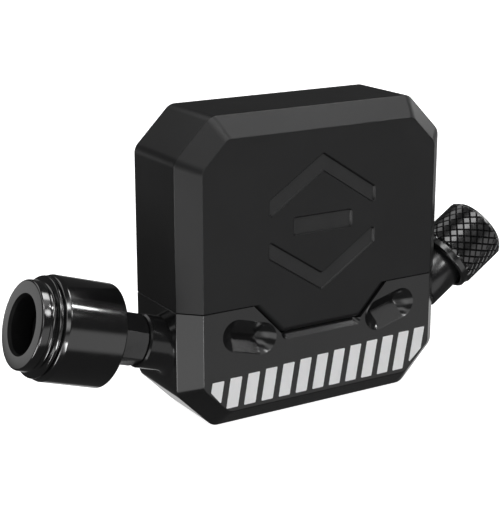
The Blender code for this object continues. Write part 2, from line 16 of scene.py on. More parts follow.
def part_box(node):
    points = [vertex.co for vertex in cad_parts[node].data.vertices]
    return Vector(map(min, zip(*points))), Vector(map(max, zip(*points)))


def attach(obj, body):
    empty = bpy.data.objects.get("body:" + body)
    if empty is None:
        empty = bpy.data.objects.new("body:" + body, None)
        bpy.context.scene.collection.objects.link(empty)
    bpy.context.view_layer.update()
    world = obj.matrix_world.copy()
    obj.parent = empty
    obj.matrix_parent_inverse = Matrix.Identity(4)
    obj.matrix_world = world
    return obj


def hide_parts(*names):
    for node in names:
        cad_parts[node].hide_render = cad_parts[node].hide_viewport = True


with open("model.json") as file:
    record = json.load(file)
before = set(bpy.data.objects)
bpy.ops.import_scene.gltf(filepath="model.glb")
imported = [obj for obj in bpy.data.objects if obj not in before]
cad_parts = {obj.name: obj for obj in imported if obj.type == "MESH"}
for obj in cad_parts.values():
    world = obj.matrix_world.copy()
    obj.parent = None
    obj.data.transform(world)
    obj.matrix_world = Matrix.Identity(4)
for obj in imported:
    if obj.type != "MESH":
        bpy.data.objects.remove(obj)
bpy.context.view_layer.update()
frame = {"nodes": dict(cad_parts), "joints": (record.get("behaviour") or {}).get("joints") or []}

MM = 0.001
ROOT = bpy.context.scene.collection
JOINTS = {joint["name"]: joint for joint in frame["joints"]}


def node_box(node):
    """Lowest and highest corners of a CAD node in mm."""
    low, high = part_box(node)
    return low / MM, high / MM


def axis_matrix(origin, direction):
    """World matrix whose local Z runs along a direction, through a point in mm."""
    z_axis = Vector(direction).normalized()
    side = Vector((0.0, 1.0, 0.0))
    if abs(z_axis.dot(side)) > 0.9:
        side = Vector((0.0, 0.0, 1.0))
    x_axis = side.cross(z_axis).normalized()
    matrix = Matrix((x_axis, z_axis.cross(x_axis), z_axis)).transposed().to_4x4()
    matrix.translation = Vector(origin) * MM
    return matrix


def joint_matrix(joint_name):
    """World matrix at a joint's place, with its axis as local Z."""
    joint = JOINTS[joint_name]
    return axis_matrix(Vector(joint["pos_m"]) / MM, joint["axis"])


COVER_LOW, COVER_HIGH = node_box("housing_cover")
FRONT_Y = COVER_LOW.y
BACK_Y = COVER_HIGH.y
HALF_WIDTH = COVER_HIGH.x
TOP_Z = COVER_HIGH.z
SEAM_SETBACK = 0.15             # the CAD lower body ends this far below the seam
SEAM_Z = node_box("lower_body")[1].z + SEAM_SETBACK
COUPLING = joint_matrix("collar_swivel")
VALVE = joint_matrix("valve_cap_turn")
HATCH = joint_matrix("hatch_turn")

# Shape of the housing
HUGE = 30.0                     # reach of a cutter that has to clear the housing
CORNER_CUT = 5.1
CORNER_RADIUS = 1.8
FRONT_BEVEL = 2.5
EDGE_RADIUS = 0.28
BACK_RADIUS = 0.3
SEAM_GAP = 0.05
SEAM_GROOVE = 0.09              # radius of the round groove along the seam
FLAT_AREA = 3.0                 # faces above this many mm2 are the housing's flat sides
NOTCH_TOP_HALF = 10.3
NOTCH_FLOOR_HALF = 6.1
NOTCH_FLOOR_Z = 11.6
NOTCH_DEPTH = 1.9
TONGUE_GAP = 0.12
TONGUE_ROUND = 0.7
LEDGE = 0.8
WALL = 1.6
FACE_CORNER = CORNER_CUT - FRONT_BEVEL * (2 - math.sqrt(2))     # corner cut of the front
SCREW_X, SCREW_Y = 12.9, 2.6    # the two cover screws
SCREW_HOLE = 1.1                # radius


# ---------------------------------------------------------------- mesh helpers

def add_mesh(bm, name, matrix=None, smooth_angle=32.0):
    """New object from a bmesh in mm, shaded smooth with sharp edges above the angle."""
    bmesh.ops.remove_doubles(bm, verts=bm.verts, dist=0.0005)
    bmesh.ops.recalc_face_normals(bm, faces=bm.faces)
    bmesh.ops.scale(bm, vec=(MM, MM, MM), verts=bm.verts)
    mesh = bpy.data.meshes.new(name)
    bm.to_mesh(mesh)
    bm.free()
    mesh.shade_smooth()
    mesh.set_sharp_from_angle(angle=math.radians(smooth_angle))
    item = bpy.data.objects.new(name, mesh)
    ROOT.objects.link(item)
    if matrix is not None:
        item.matrix_world = matrix
    return item


def bridge(bm, first, second):
    count = len(first)
    for i in range(count):
        j = (i + 1) % count
        bm.faces.new((first[i], first[j], second[j], second[i]))


def loft(name, rings):
    """Closed solid through rings of points, its two ends filled."""
    bm = bmesh.new()
    loops = [[bm.verts.new(point) for point in ring] for ring in rings]
    for first, second in zip(loops, loops[1:]):
        bridge(bm, first, second)
    bm.faces.new(list(reversed(loops[0])))
    bm.faces.new(loops[-1])
    return add_mesh(bm, name)


def lathe(name, profile, matrix, steps):
    """Solid of revolution about local Z; the profile is closed, or ends on the axis.

    A radius may be a function of the angle, as on a screw thread.
    """
    bm = bmesh.new()
    loops = []
    for radius, height in profile:
        if radius == 0.0:
            loops.append([bm.verts.new((0.0, 0.0, height))])
            continue
        loop = []
        for i in range(steps):
            angle = 2 * math.pi * i / steps
            reach = radius(angle) if callable(radius) else radius
            loop.append(bm.verts.new((reach * math.cos(angle), reach * math.sin(angle), height)))
        loops.append(loop)
    pairs = list(zip(loops, loops[1:]))
    if len(loops[0]) > 1 or len(loops[-1]) > 1:
        pairs.append((loops[-1], loops[0]))
    for first, second in pairs:
        if len(first) > 1 and len(second) > 1:
            bridge(bm, first, second)
        elif len(first) + len(second) > 2:
            ring, tip = (first, second[0]) if len(first) > 1 else (second, first[0])
            for i in range(steps):
                bm.faces.new((ring[i], ring[(i + 1) % steps], tip))
    return add_mesh(bm, name, matrix)


def rounded(profile, radii, segments=4):
    """Open profile with each inner corner replaced by an arc; radii is one value or a list."""
    inner = len(profile) - 2
    if isinstance(radii, float):
        radii = [radii] * inner
    result = [tuple(profile[0])]
    for i in range(inner):
        before, corner, after = (Vector(p) for p in profile[i:i + 3])
        result.extend(fillet(before, corner, after, radii[i], segments))
    result.append(tuple(profile[-1]))
    return result


def fillet(before, corner, after, radius, segments):
    """Points of the arc that rounds one corner of a 2D outline."""
    back = (before - corner)
    onward = (after - corner)
    reach = 0.49 * min(back.length, onward.length)
    back.normalize()
    onward.normalize()
    half = back.angle(onward) / 2
    if radius <= 0.0 or half > math.radians(89.0):
        return [tuple(corner)]
    setback = min(radius / math.tan(half), reach)
    radius = setback * math.tan(half)
    centre = corner + (back + onward).normalized() * (radius / math.sin(half))
    start = corner + back * setback - centre
    end = corner + onward * setback - centre
    points = []
    for i in range(segments + 1):
        ray = start.normalized().slerp(end.normalized(), i / segments)
        points.append(tuple(centre + ray * radius))
    return points


def ring_outline(corners, radius, segments=6):
    """Closed outline with every corner rounded."""
    count = len(corners)
    points = []
    for i, corner in enumerate(corners):
        before = Vector(corners[i - 1])
        after = Vector(corners[(i + 1) % count])
        points.extend(fillet(before, Vector(corner), after, radius, segments))
    return points


def prism(name, outline, plane, low, high):
    """Prism of a 2D outline: plane "XZ" runs along Y, "YZ" along X and "XY" along Z."""
    place = {"XZ": lambda a, b, c: (a, c, b), "YZ": lambda a, b, c: (c, a, b),
             "XY": lambda a, b, c: (a, b, c)}[plane]
    return loft(name, [[place(a, b, level) for a, b in outline] for level in (low, high)])


def block(name, low, high):
    outline = [(low[0], low[1]), (high[0], low[1]), (high[0], high[1]), (low[0], high[1])]
    return prism(name, outline, "XY", low[2], high[2])


def rod(name, matrix, radius, low, high, steps):
    return lathe(name, [(0.0, high), (radius, high), (radius, low), (0.0, low)], matrix, steps)


def boolean(item, other, operation="DIFFERENCE"):
    """Applies a Boolean with another object, which is then removed."""
    step = item.modifiers.new(other.name, "BOOLEAN")
    step.object = other
    step.operation = operation
    step.solver = "MANIFOLD"
    apply_modifiers(item)
    bpy.data.objects.remove(other, do_unlink=True)


def apply_modifiers(item):
    graph = bpy.context.evaluated_depsgraph_get()
    graph.update()
    mesh = bpy.data.meshes.new_from_object(item.evaluated_get(graph))
    item.modifiers.clear()
    item.data = mesh


def cut(item, *cutters):
    for cutter in cutters:
        boolean(item, cutter)


def join(item, *others):
    for other in others:
        boolean(item, other, "UNION")


def finish_shape(item, smooth_angle, flat_area=None):
    """Smooth shading with sharp edges by angle; faces over an area in mm2 are shaded flat."""
    mesh = item.data
    mesh.shade_smooth()
    mesh.set_sharp_from_angle(angle=math.radians(smooth_angle))
    if flat_area:
        for face in mesh.polygons:
            if face.area > flat_area * MM * MM:
                face.use_smooth = False
    return item


def sweep_level(name, path, height, radius, sides=10):
    """Round bar along an open horizontal path, mitred at its bends."""
    points = [Vector(p) for p in path]
    rings = []
    for i, point in enumerate(points):
        before = (point - points[i - 1]).normalized() if i else None
        after = (points[i + 1] - point).normalized() if i + 1 < len(points) else None
        along = ((before or after) + (after or before)).normalized()
        across = Vector((along.y, -along.x))
        stretch = 1.0 / max(0.5, along.dot(after or before))
        ring = []
        for k in range(sides):
            angle = 2 * math.pi * k / sides
            spot = point + across * (radius * math.cos(angle) * stretch)
            ring.append((spot.x, spot.y, height + radius * math.sin(angle)))
        rings.append(ring)
    return loft(name, rings)


def offset_outline(points, distance):
    """Closed outline moved outwards (for an anticlockwise outline) by a distance."""
    count = len(points)
    moved = []
    for i in range(count):
        before = (Vector(points[i]) - Vector(points[i - 1])).normalized()
        after = (Vector(points[(i + 1) % count]) - Vector(points[i])).normalized()
        normal = (Vector((before.y, -before.x)) + Vector((after.y, -after.x))).normalized()
        reach = distance / max(0.35, normal.dot(Vector((after.y, -after.x))))
        moved.append(tuple(Vector(points[i]) + normal * reach))
    return moved


def anticlockwise(points):
    area = sum(a[0] * b[1] - b[0] * a[1] for a, b in zip(points, points[1:] + points[:1]))
    return points if area > 0 else points[::-1]


def engraving(name, outline, depth, edge, corner):
    """Cutter for a pocket in the front face, with rounded corners and a chamfered rim."""
    outline = ring_outline(anticlockwise(outline), corner, 3)
    levels = [(-0.2, edge), (0.0, edge), (0.3 * edge, 0.3 * edge), (edge, 0.0), (depth, -0.14)]
    rings = []
    for level, spread in levels:
        rings.append([(x, FRONT_Y + level, z) for x, z in offset_outline(outline, spread)])
    return loft(name, rings)


def v_groove(name, centre, along, half_pitch, radius, depth, rim):
    """V-shaped groove with conical ends in the front face, with a small rounded rim."""
    across = Vector((-along.y, along.x))
    bm = bmesh.new()
    steps = 48
    top = radius + rim
    for end in (-1, 1):
        middle = centre + along * (end * half_pitch)
        bm.verts.new((middle.x, FRONT_Y + depth, middle.y))
        for i in range(steps):
            angle = 2 * math.pi * i / steps
            ray = along * math.cos(angle) + across * math.sin(angle)
            for reach, level in ((radius, 0.06 * radius), (top, 0.0), (top + 0.2, -0.2)):
                spot = middle + ray * reach
                bm.verts.new((spot.x, FRONT_Y + level, spot.y))
    hull = bmesh.ops.convex_hull(bm, input=bm.verts)
    spare = [v for v in hull["geom_interior"] if isinstance(v, bmesh.types.BMVert)]
    bmesh.ops.delete(bm, geom=spare, context="VERTS")
    bmesh.ops.dissolve_limit(bm, angle_limit=0.002, verts=bm.verts, edges=bm.edges)
    return add_mesh(bm, name)


# ---------------------------------------------------------------- housing

def housing_ring(y, inset):
    """Outline of the housing at a depth, moved in, with its eight corners rounded."""
    half = HALF_WIDTH - inset
    low, high = inset, TOP_Z - inset
    corner = CORNER_CUT - inset * (2 - math.sqrt(2))
    corners = [(-half + corner, low), (half - corner, low), (half, low + corner),
               (half, high - corner), (half - corner, high), (-half + corner, high),
               (-half, high - corner), (-half, low + corner)]
    radius = CORNER_RADIUS - 0.12 * inset
    return [(x, y, z) for x, z in ring_outline(corners, radius, 8)]


def housing_block(name):
    """The whole outside of the housing, both halves in one, with its edge fillets."""
    profile = [(BACK_Y, 3.0), (BACK_Y, 0.0), (FRONT_Y + FRONT_BEVEL, 0.0),
               (FRONT_Y, FRONT_BEVEL), (FRONT_Y, FRONT_BEVEL + 3.0)]
    radii = [BACK_RADIUS, EDGE_RADIUS, EDGE_RADIUS]
    sections = rounded(profile, radii, 8)[1:-1]
    return loft(name, [housing_ring(y, inset) for y, inset in sections])


def notch_outline(gap, top):
    """Trapezoid of the front notch, shrunk by a gap, up to a given height."""
    rise = SEAM_Z - NOTCH_FLOOR_Z
    run = NOTCH_TOP_HALF - NOTCH_FLOOR_HALF
    length = math.hypot(rise, run)
    floor = NOTCH_FLOOR_Z + gap
    low_half = NOTCH_FLOOR_HALF + gap * run / rise - gap * length / rise
    high_half = low_half + (top - floor) * run / rise
    return [(-low_half, floor), (low_half, floor), (high_half, top), (-high_half, top)]


def round_over(name, start, end, inward, radius, stop_low, stop_high):
    """Cutter that rounds the front edge of the tongue between two points of its outline.

    Its cross-section is the square corner outside a quarter circle.  The cutter runs
    along the edge and is cut level at the stop heights, or runs past them.
    """
    start, end, inward = Vector(start), Vector(end), Vector(inward).normalized()
    along = (end - start).normalized()
    section = [(-0.3, -0.3), (radius, -0.3), (radius, 0.0)]
    for i in range(1, 8):
        angle = math.radians(90.0 * i / 8)
        section.append((radius - radius * math.sin(angle), radius - radius * math.cos(angle)))
    section += [(0.0, radius), (-0.3, radius)]
    rings = []
    for point, stop in ((start, stop_low), (end, stop_high)):
        ring = []
        for across, level in section:
            spot = point + inward * across
            if stop is not None and abs(along.y) > 0.1:
                spot = spot + along * ((stop - spot.y) / along.y)
            ring.append((spot.x, FRONT_Y + level, spot.y))
        rings.append(ring)
    return loft(name, rings)


def seam_path():
    """The seam round the housing, from one end of the notch to the other, in plan."""
    shoulder = HALF_WIDTH - FRONT_BEVEL
    bevel_y = FRONT_Y + FRONT_BEVEL
    path = [(-NOTCH_TOP_HALF, FRONT_Y), (-shoulder, FRONT_Y), (-HALF_WIDTH, bevel_y),
            (-HALF_WIDTH, BACK_Y), (HALF_WIDTH, BACK_Y), (HALF_WIDTH, bevel_y),
            (shoulder, FRONT_Y), (NOTCH_TOP_HALF, FRONT_Y)]
    return rounded(path, [EDGE_RADIUS, EDGE_RADIUS, BACK_RADIUS, BACK_RADIUS, EDGE_RADIUS,
                          EDGE_RADIUS], 3)


def cut_seam_groove(item):
    cut(item, sweep_level("seam_groove", seam_path(), SEAM_Z, SEAM_GROOVE))


# Engraved travel mark: two chevrons pointing apart and a bar between them
MARK_Z = 25.4
MARK_DEPTH = 0.3
MARK_HALF = 8.0
MARK_RISE = 5.2
MARK_STROKE = 2.3
MARK_OFFSET = 2.6


def mark_outlines():
    outlines = []
    for side in (-1, 1):
        base = MARK_Z + side * MARK_OFFSET
        tip = base + side * MARK_RISE
        stroke = side * MARK_STROKE / 2
        outlines.append([(-MARK_HALF, base - stroke), (0.0, tip - stroke),
                         (MARK_HALF, base - stroke), (MARK_HALF, base + stroke),
                         (0.0, tip + stroke), (-MARK_HALF, base + stroke)])
    half = MARK_HALF * 0.55
    bar = MARK_STROKE * 0.5
    outlines.append([(-half, MARK_Z - bar), (half, MARK_Z - bar), (half, MARK_Z + bar),
                     (-half, MARK_Z + bar)])
    return outlines


def cavity():
    """Space inside the cover, one wall thickness in from the outside."""
    front = FRONT_Y + WALL
    slope = FRONT_BEVEL - 0.6
    back = BACK_Y - WALL
    rings = [housing_ring(front, WALL + slope), housing_ring(front + slope, WALL),
             housing_ring(back, WALL)]
    return loft("cavity", rings)


def upright(x, y):
    return Matrix.Translation(Vector((x, y, 0.0)) * MM)


def make_cover():
    cover = housing_block("cover_shell")
    bottom = SEAM_Z + SEAM_GAP / 2
    tongue = notch_outline(TONGUE_GAP, bottom)
    around = [(-HUGE, bottom), (-HUGE, -5.0), (HUGE, -5.0), (HUGE, bottom)]
    around += [tongue[2], tongue[1], tongue[0], tongue[3]]
    cut(cover, prism("below_seam", around, "XZ", -10.0, 10.0),
        block("behind_tongue", (-15.0, FRONT_Y + 3.0, -5.0), (15.0, 10.0, bottom)))
    low_left, low_right, high_right, high_left = tongue
    slope = Vector(high_right) - Vector(low_right)
    for side, low, high in ((1, low_right, high_right), (-1, low_left, high_left)):
        inward = (-side * slope.y, slope.x)
        cut(cover, round_over("round_side", low, high, inward, TONGUE_ROUND, 8.0, bottom))
    cut(cover, round_over("round_floor", (-9.0, low_left[1]), (9.0, low_left[1]), (0.0, 1.0),
                          TONGUE_ROUND, None, None))
    cut(cover, cavity())
    for side in (-1, 1):
        place = upright(side * SCREW_X, SCREW_Y)
        join(cover, rod("screw_boss", place, 1.7, 17.0, 25.0, 32))
        cut(cover, rod("screw_boss_bore", place, SCREW_HOLE, 16.0, 24.4, 24))
    join(cover, lathe("hatch_collar", [(11.2, 4.2), (11.2, BACK_Y - 0.6), (10.3, BACK_Y - 0.6),
                                       (10.3, 4.2)], HATCH, 96))
    cut(cover, rod("hatch_hole", HATCH, HATCH_RADIUS + 0.09, 3.0, 8.0, 96))
    cut(cover, rod("valve_relief", VALVE, STEM_SEAT, -1.0, 20.0, 64))
    for number, outline in enumerate(mark_outlines()):
        cut(cover, engraving("mark_%d" % number, outline, MARK_DEPTH, 0.1, 0.3))
    cut_seam_groove(cover)
    return finish_shape(cover, 14.0, FLAT_AREA)


def is_mark_floor(mesh, face):
    level = (FRONT_Y + MARK_DEPTH) * MM
    return all(abs(mesh.vertices[v].co.y - level) < 0.00002 for v in face.vertices)


# Slanted V pockets, ports and screw holes of the lower body
POCKET_X = 10.83
POCKET_Z = 12.0
POCKET_TILT = 15.3
POCKET_HALF_PITCH = 1.9
POCKET_RADIUS = 2.0
POCKET_DEPTH = 1.9
BOSS_RADIUS = 3.42
BOSS_END = 3.45
BOSS_FILLET = 0.8
CLAMP_SCREW_X = 5.0
GALLERY = 0.9                   # radius of the drilled air galleries
STEM_SEAT = 3.72                # radius of the recess round the filler stem


def make_lower_body():
    body = housing_block("lower_body_shell")
    top = SEAM_Z - SEAM_GAP / 2
    cut(body, block("above_seam", (-HUGE, -10.0, top), (HUGE, 10.0, TOP_Z + 5.0)))
    join(body, boss())
    cut(body, prism("notch", notch_outline(0.0, SEAM_Z + 2.0), "XZ",
                    FRONT_Y - 1.0, FRONT_Y + NOTCH_DEPTH))
    cut(body, v_groove("ledge", Vector((0.0, NOTCH_FLOOR_Z)), Vector((1.0, 0.0)),
                       NOTCH_FLOOR_HALF - LEDGE, LEDGE, LEDGE, 0.04))
    tilt = math.radians(POCKET_TILT)
    for side in (-1, 1):
        along = Vector((math.cos(tilt), side * math.sin(tilt)))
        cut(body, v_groove("pocket", Vector((side * POCKET_X, POCKET_Z)), along,
                           POCKET_HALF_PITCH, POCKET_RADIUS, POCKET_DEPTH, 0.06))
    cut(body, lathe("coupling_port", [(0.0, 6.0), (2.45, 6.0), (2.45, 2.6), (2.3, 2.6),
                                      (2.3, -3.0), (GALLERY, -3.0), (GALLERY, -26.0),
                                      (0.0, -26.0)], COUPLING, 64))
    cut(body, lathe("valve_port", [(0.0, 20.0), (STEM_SEAT, 20.0), (STEM_SEAT, -0.1),
                                   (3.1, -0.1), (3.1, -4.0), (GALLERY, -4.0), (GALLERY, -15.0),
                                   (0.0, -15.0)], VALVE, 64))
    for side in (-1, 1):
        place = upright(side * SCREW_X, SCREW_Y)
        cut(body, rod("screw_hole", place, SCREW_HOLE, -1.0, 17.0, 32),
            lathe("screw_head_hole", [(0.0, 2.0), (1.75, 2.0), (1.75, 0.15), (1.95, -0.1),
                                      (1.95, -1.0), (0.0, -1.0)], place, 48),
            rod("clamp_screw_hole", upright(side * CLAMP_SCREW_X, 0.0), 0.9, 10.0, 16.5, 24))
    cut(body, rod("sensor_pocket", upright(0.0, 0.0), 3.3, 9.0, 17.0, 48),
        block("clamp_recess", (-6.9, -3.5, 14.2), (6.9, 3.5, 17.0)), gasket_groove())
    cut_seam_groove(body)
    return finish_shape(body, 14.0, FLAT_AREA)


def boss():
    """Round boss that carries the coupling, with a fillet where it leaves the side."""
    flare = []
    for i in range(9):
        angle = math.radians(90.0 * i / 8)
        flare.append((BOSS_RADIUS + BOSS_FILLET * (1 - math.sin(angle)),
                      -1.05 + 2.0 * BOSS_FILLET * (1 - math.cos(angle))))
    profile = [(0.0, BOSS_END), (BOSS_RADIUS - 0.2, BOSS_END), (BOSS_RADIUS, BOSS_END - 0.2)]
    profile += flare[::-1]
    profile += [(BOSS_RADIUS + BOSS_FILLET, -2.2), (0.0, -2.2)]
    return lathe("boss", profile, COUPLING, 96)


def gasket_groove():
    """Groove for the cover gasket, cut as a block with its middle left standing."""
    loops = []
    for edge in (0.1, 1.3):
        side = HALF_WIDTH - WALL - edge
        front = FRONT_Y + WALL + edge
        back = BACK_Y - WALL - edge
        corner = 1.5
        loops.append([(-side, front + corner), (-side + corner, front), (side - corner, front),
                      (side, front + corner), (side, back), (-side, back)])
    groove = prism("groove_outside", loops[0], "XY", SEAM_Z - 0.6, SEAM_Z + 1.0)
    cut(groove, prism("groove_inside", loops[1], "XY", SEAM_Z - 1.0, SEAM_Z + 2.0))
    return groove


# Printed level bars along the lower body
PRINT_COUNT = 13
PRINT_LEFT = -16.6
PRINT_RIGHT = 16.4
PRINT_LOW = 3.1
PRINT_HIGH_LEFT = 6.9
PRINT_HIGH_RIGHT = 8.5
PRINT_SLANT = 0.17
PRINT_INK = 0.02
PRINT_MARGIN = 0.4              # kept clear of the slanted corners of the front face


def print_foot(x):
    """Lower end of the print at x: level, and above the front face's cut corners."""
    corner_z = FRONT_BEVEL + abs(x) - (HALF_WIDTH - FRONT_BEVEL - FACE_CORNER)
    return max(PRINT_LOW, corner_z + PRINT_MARGIN)


def make_print():
    """White row of slanted bars that rise in height from the left to the right."""
    bm = bmesh.new()
    pitch = (PRINT_RIGHT - PRINT_LEFT) / (PRINT_COUNT - 0.35)
    for i in range(PRINT_COUNT):
        left = PRINT_LEFT + i * pitch
        right = left + 0.65 * pitch
        high = PRINT_HIGH_LEFT + (PRINT_HIGH_RIGHT - PRINT_HIGH_LEFT) * i / (PRINT_COUNT - 1)
        corners = []
        for x, z in ((left, print_foot(left)), (right, print_foot(right)), (right, high),
                     (left, high)):
            corners.append((x + PRINT_SLANT * (z - (PRINT_LOW + high) / 2), z))
        outline = ring_outline(corners, 0.12, 3)
        front, back = [[bm.verts.new((x, y, z)) for x, z in outline]
                       for y in (FRONT_Y - PRINT_INK, FRONT_Y + PRINT_INK)]
        bridge(bm, front, back)
        bm.faces.new(front)
        bm.faces.new(back)
    return add_mesh(bm, "level_print")


# ---------------------------------------------------------------- coupling

THREAD_PITCH = 0.7938


def thread_rows(low, high, base, depth, rows_per_turn=10, fade=0.6, outward=1):
    """Profile rows whose radius follows a screw thread, from the upper to the lower height."""
    count = round((high - low) / THREAD_PITCH * rows_per_turn)
    rows = []
    for k in range(count + 1):
        height = high - (high - low) * k / count
        ease = min(1.0, (high - height) / fade, (height - low) / fade)

        def radius(angle, height=height, ease=ease):
            phase = (height / THREAD_PITCH - angle / (2 * math.pi)) % 1.0
            flank = abs(2.0 * phase - 1.0)
            shape = min(1.0, max(0.0, (flank - 0.12) / 0.76))
            return base - outward * depth * shape * max(0.0, ease)

        rows.append((radius, height))
    return rows


SOCKET_RADIUS = 3.57
SOCKET_MOUTH = 19.3             # height where the collar's front edge begins
SOCKET_THREAD = (11.4, 16.6, 0.33)      # from, to and depth
HEX_LOW = 3.55
HEX_HIGH = 8.3
HEX_APOTHEM = 2.95


def is_collar_bore(mesh, face):
    """True for the faces of the socket inside the collar."""
    reach = [math.hypot(mesh.vertices[v].co.x, mesh.vertices[v].co.y) for v in face.vertices]
    return max(reach) < (SOCKET_RADIUS + 0.36) * MM and face.center.z < SOCKET_MOUTH * MM


def make_collar():
    """Coupling ring: nose, neck, cone, groove, cone and barrel, and a threaded socket."""
    outer = [(3.8, 19.4), (5.45, 19.4), (5.55, 18.35), (5.3, 18.2), (5.3, 17.75), (6.15, 17.5),
             (6.25, 17.2), (5.85, 17.12), (5.85, 16.95), (6.3, 16.75), (6.5, 16.2), (6.5, 8.7),
             (6.25, 8.5), (2.6, 8.5)]
    radii = [0.25, 0.1, 0.1, 0.4, 0.15, 0.1, 0.08, 0.08, 0.25, 0.5, 0.2, 0.1]
    profile = rounded(outer, radii, 6)
    low, high, depth = SOCKET_THREAD
    profile += [(2.6, 10.2), (SOCKET_RADIUS, 10.2), (SOCKET_RADIUS, low)]
    profile += thread_rows(low, high, SOCKET_RADIUS, depth, outward=-1)[::-1]
    profile += [(SOCKET_RADIUS, 19.0)]
    return finish_shape(lathe("collar_shell", profile, COUPLING, 160), 24.0)


def make_coupling_stem():
    stem = lathe("stem_turned", [(0.0, 12.9), (2.3, 12.9), (2.3, 12.05), (1.8, 12.05),
                                 (1.8, 10.95), (2.3, 10.95), (2.3, 7.0), (1.7, 4.4), (1.7, 3.4),
                                 (1.6, 3.3), (1.6, 2.4), (2.0, 2.2), (2.0, -2.7), (0.0, -2.7)],
                 COUPLING, 64)
    corner = HEX_APOTHEM / math.cos(math.radians(30.0))
    sides = []
    for i in range(6):
        angle = math.radians(60.0 * i)
        sides.append((corner * math.cos(angle), corner * math.sin(angle)))
    nut = prism("stem_hexagon", ring_outline(sides, 0.1, 3), "XY", HEX_LOW, HEX_HIGH)
    nut.matrix_world = COUPLING
    chamfer = lathe("hexagon_chamfer", [(0.0, 9.0), (4.0, 9.0), (4.0, HEX_LOW + 0.7),
                                        (HEX_APOTHEM, HEX_LOW), (0.0, HEX_LOW)], COUPLING, 96)
    boolean(nut, chamfer, "INTERSECT")
    join(stem, nut)
    cut(stem, rod("stem_bore", COUPLING, 0.8, -4.0, 14.0, 24),
        rod("stem_seat", COUPLING, 1.3, 10.0, 14.0, 32))
    return finish_shape(stem, 22.0)


# ---------------------------------------------------------------- filler valve

STEM_RADIUS = 3.6
CAP_RADIUS = 4.68
CAP_LOW = 5.2
CAP_HIGH = 13.25
CAP_END_RADIUS = 4.1            # where the upper cone meets the flat end
CAP_CONE = 0.65                 # height of the upper cone
CAP_RING_RADIUS = 4.45          # plain ring below the knurl
CAP_INSIDE = (3.9, 12.4)        # radius and top of the space inside
KNURL_LOW = 6.2
# levels at which the knurl is split, so that it can follow the cones at both ends
KNURL_SPLITS = (6.35, 6.49, 12.6, 12.72, 12.84, 12.96, 13.1)
KNURL_STARTS = 22
KNURL_DEPTH = 0.26
KNURL_HALF_GAP = 0.19           # half of a groove's width, along the cap


def make_valve_stem():
    profile = [(2.6, 11.2), (3.3, 11.2), (STEM_RADIUS - 0.1, 11.0)]
    profile += thread_rows(5.3, 10.9, STEM_RADIUS, 0.42)
    profile += [(STEM_RADIUS, 0.3), (STEM_RADIUS - 0.1, 0.2), (2.0, 0.2), (2.0, -1.5), (2.8, -1.5),
                (2.8, -3.7), (0.9, -3.7), (0.9, 1.8), (2.6, 1.8)]
    return finish_shape(lathe("valve_stem_threaded", profile, VALVE, 120), 40.0)


def cap_limit(height):
    """Largest radius of the cap at a height: cones at both ends of the knurled barrel."""
    upper = CAP_END_RADIUS + (CAP_HIGH - height) * (CAP_RADIUS - CAP_END_RADIUS) / CAP_CONE
    lower = CAP_RING_RADIUS + (height - KNURL_LOW) * 0.8
    return min(CAP_RADIUS, upper, lower)


def make_valve_cap():
    """Dust cap with a diamond knurl.

    The knurl is laid out flat, one pyramid-sided diamond at a time, cut at both ends
    and wound round the barrel; its rim is then carried on over the rest of the cap.
    """
    bm = bmesh.new()
    diamond = 2 * math.pi * CAP_RADIUS / KNURL_STARTS
    for row in range(int((CAP_HIGH - KNURL_LOW) / diamond * 2) + 4):
        for column in range(KNURL_STARTS):
            centre = ((column + 0.5 * (row % 2)) * diamond, KNURL_LOW + (row - 1) * diamond / 2)
            knurl_tooth(bm, centre, diamond / 2)
    bmesh.ops.remove_doubles(bm, verts=bm.verts, dist=0.001)
    levels = [(KNURL_LOW, -1), (CAP_HIGH, 1)] + [(height, 0) for height in KNURL_SPLITS]
    for height, clear in levels:
        geometry = bm.verts[:] + bm.edges[:] + bm.faces[:]
        bmesh.ops.bisect_plane(bm, geom=geometry, plane_co=(0.0, height, 0.0),
                               plane_no=(0.0, 1.0, 0.0), clear_outer=clear > 0,
                               clear_inner=clear < 0, dist=0.0005)
    for vert in bm.verts:
        along, height, depth = vert.co
        angle = along / CAP_RADIUS
        radius = min(CAP_RADIUS - depth, cap_limit(height))
        vert.co = (radius * math.cos(angle), radius * math.sin(angle), height)
    bmesh.ops.remove_doubles(bm, verts=bm.verts, dist=0.002)
    rim_low = [e for e in bm.edges if e.is_boundary and e.verts[0].co.z < 9.0]
    rim_high = [e for e in bm.edges if e.is_boundary and e.verts[0].co.z > 9.0]
    for radius, height in ((3.6, CAP_HIGH), (0.0, CAP_HIGH)):
        rim_high = carry_rim(bm, rim_high, radius, height)
    inside, ceiling = CAP_INSIDE
    under = rounded([(CAP_RING_RADIUS, 6.1), (CAP_RING_RADIUS, 5.4), (4.25, CAP_LOW),
                     (inside, CAP_LOW), (inside, ceiling)], [0.06, 0.08, 0.08], 3)
    for radius, height in under + [(0.0, ceiling)]:
        rim_low = carry_rim(bm, rim_low, radius, height)
    return add_mesh(bm, "knurled_cap", VALVE, 20.0)


def knurl_tooth(bm, centre, reach):
    """One diamond: flanks that rise from the grooves to a top that follows the barrel."""
    turns = [(1, 0), (0.5, 0.5), (0, 1), (-0.5, 0.5), (-1, 0), (-0.5, -0.5), (0, -1), (0.5, -0.5)]
    foot = [bm.verts.new((centre[0] + a * reach, centre[1] + b * reach, KNURL_DEPTH))
            for a, b in turns]
    top_reach = reach - KNURL_HALF_GAP
    top = [bm.verts.new((centre[0] + a * top_reach, centre[1] + b * top_reach, 0.0))
           for a, b in turns]
    middle = bm.verts.new((centre[0], centre[1], 0.0))
    bridge(bm, foot, top)
    for i in (0, 2, 4, 6):
        bm.faces.new((top[i - 1], top[i], top[i + 1], middle))


